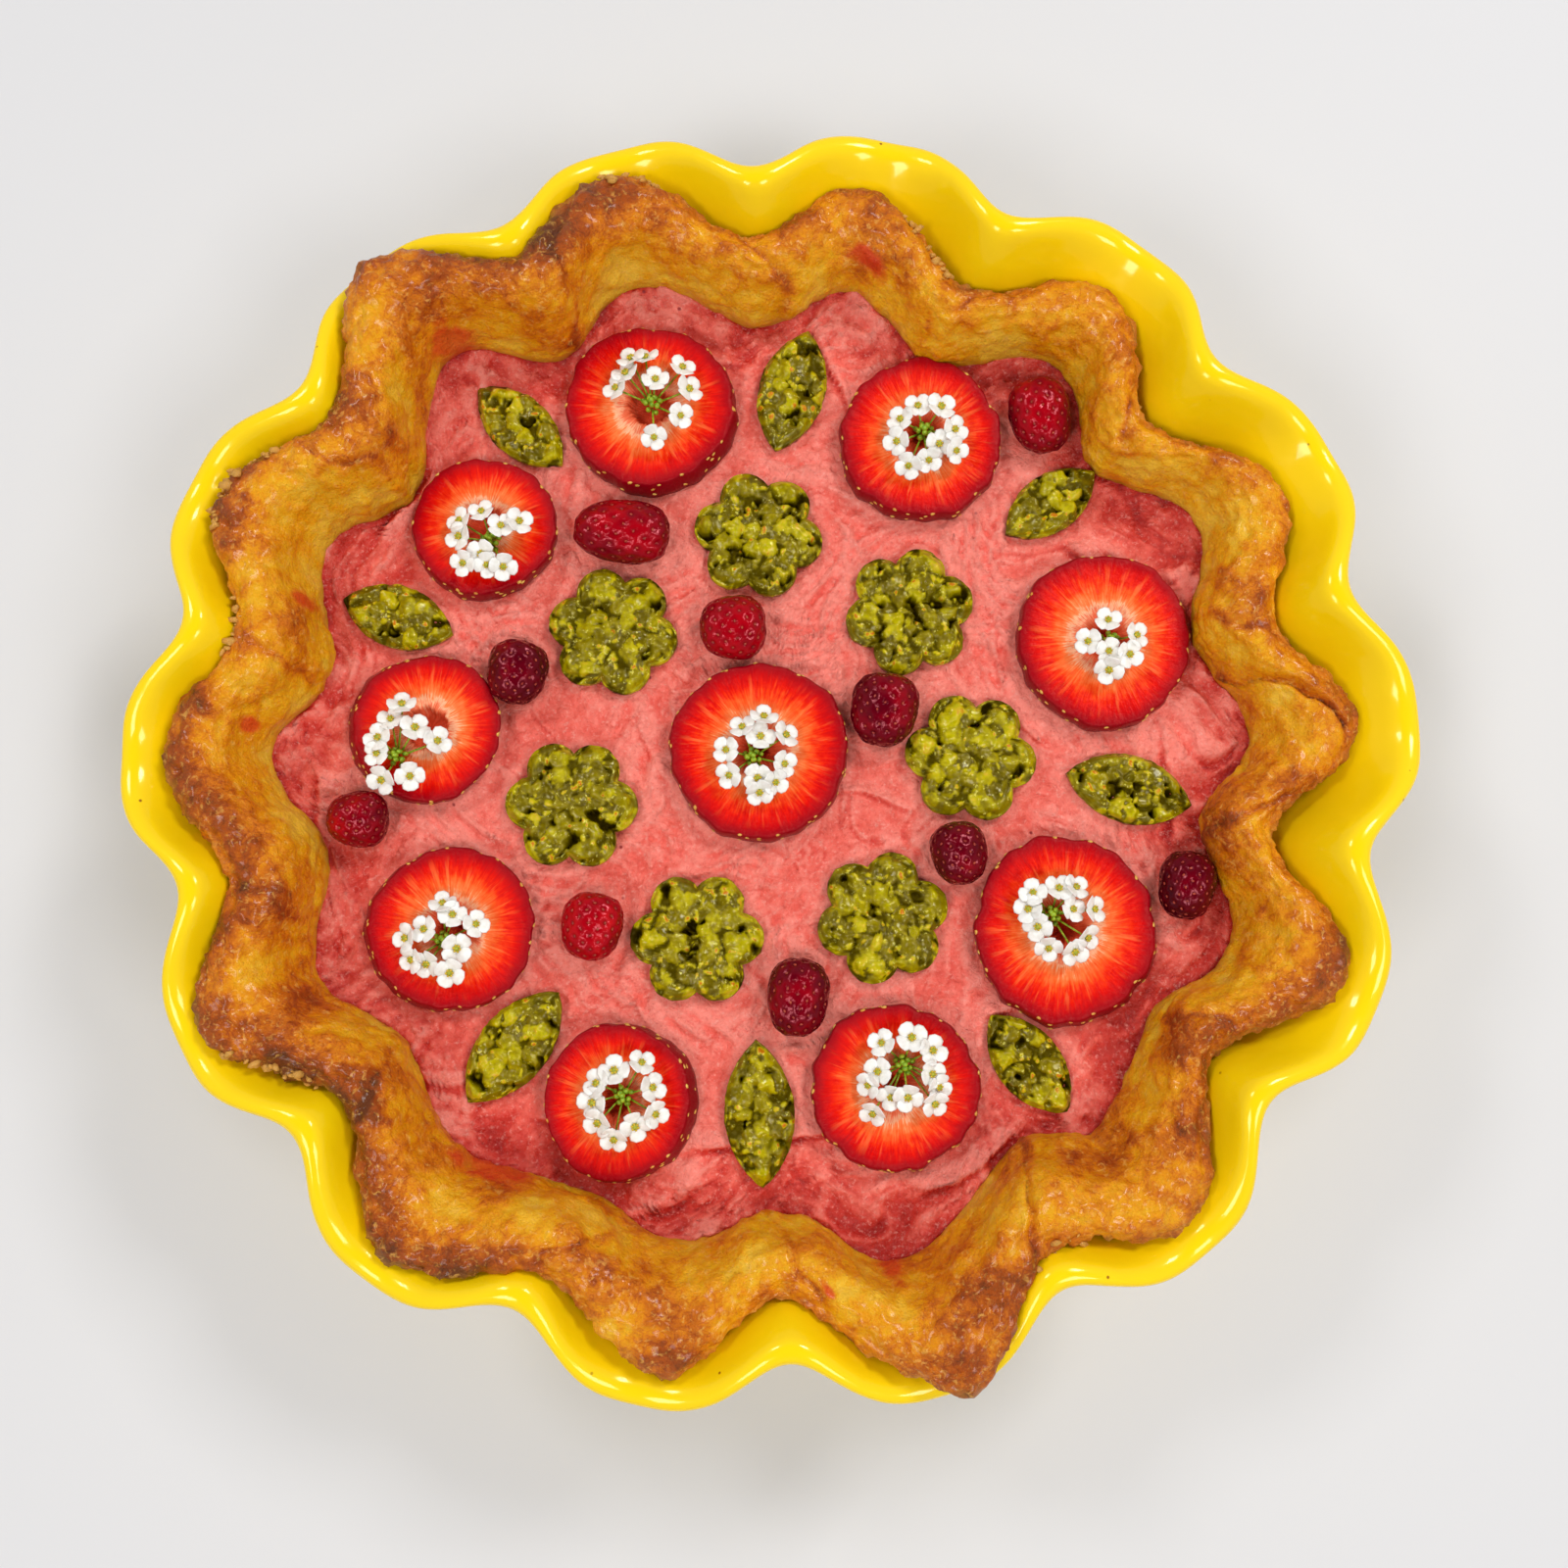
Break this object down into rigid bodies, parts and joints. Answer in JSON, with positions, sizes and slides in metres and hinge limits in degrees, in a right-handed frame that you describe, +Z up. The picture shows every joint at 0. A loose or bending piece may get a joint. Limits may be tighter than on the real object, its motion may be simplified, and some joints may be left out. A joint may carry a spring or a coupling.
{
  "type": "strawberry tart in its dish",
  "caption": "Open tart in a deep ruffled yellow pie dish: wavy browned crust, pink berry cream, strawberry slices with white flower sprigs, small berries and green nut cut-outs.",
  "frame": {"origin": "centre of the dish's foot on the table plane", "axes": "+Z up, +X and +Y across the rim, with the first outward lobe 1.8 degrees from +X"},
  "size_m": [0.2716, 0.268, 0.0705],
  "materials": {
    "yellow_glaze": "glossy clear yellow glaze over stoneware",
    "baked_crust": "egg-washed baked pastry, golden inside and toasted brown on the outer edge",
    "berry_cream": "satin coral pink cream spread with a palette knife",
    "strawberry": "wet cut strawberry, dark red skin and orange red flesh with pale fibres",
    "small_berry": "glossy dark red berry with dimples and pale seeds",
    "nut_glaze": "chopped green nuts set in clear glaze",
    "white_petal": "white petals with yellow green centres and green buds"
  },
  "bodies": {
    "root": {"dish": "yellow_glaze", "crust": "baked_crust", "filling": "berry_cream", "strawberry_slice_01": "strawberry", "strawberry_slice_02": "strawberry", "strawberry_slice_03": "strawberry", "strawberry_slice_04": "strawberry", "strawberry_slice_05": "strawberry", "strawberry_slice_06": "strawberry", "strawberry_slice_07": "strawberry", "strawberry_slice_08": "strawberry", "strawberry_slice_09": "strawberry", "strawberry_slice_10": "strawberry", "small_berry_01": "small_berry", "small_berry_02": "small_berry", "small_berry_03": "small_berry", "small_berry_04": "small_berry", "small_berry_05": "small_berry", "small_berry_06": "small_berry", "small_berry_07": "small_berry", "small_berry_08": "small_berry", "small_berry_09": "small_berry", "small_berry_10": "small_berry", "nut_flower_01": "nut_glaze", "nut_flower_02": "nut_glaze", "nut_flower_03": "nut_glaze", "nut_flower_04": "nut_glaze", "nut_flower_05": "nut_glaze", "nut_flower_06": "nut_glaze", "nut_flower_07": "nut_glaze", "nut_leaf_01": "nut_glaze", "nut_leaf_02": "nut_glaze", "nut_leaf_03": "nut_glaze", "nut_leaf_04": "nut_glaze", "nut_leaf_05": "nut_glaze", "nut_leaf_06": "nut_glaze", "nut_leaf_07": "nut_glaze", "nut_leaf_08": "nut_glaze", "flower_sprig_01": "white_petal", "flower_sprig_02": "white_petal", "flower_sprig_03": "white_petal", "flower_sprig_04": "white_petal", "flower_sprig_05": "white_petal", "flower_sprig_06": "white_petal", "flower_sprig_07": "white_petal", "flower_sprig_08": "white_petal", "flower_sprig_09": "white_petal", "flower_sprig_10": "white_petal"}
  },
  "joints": []
}
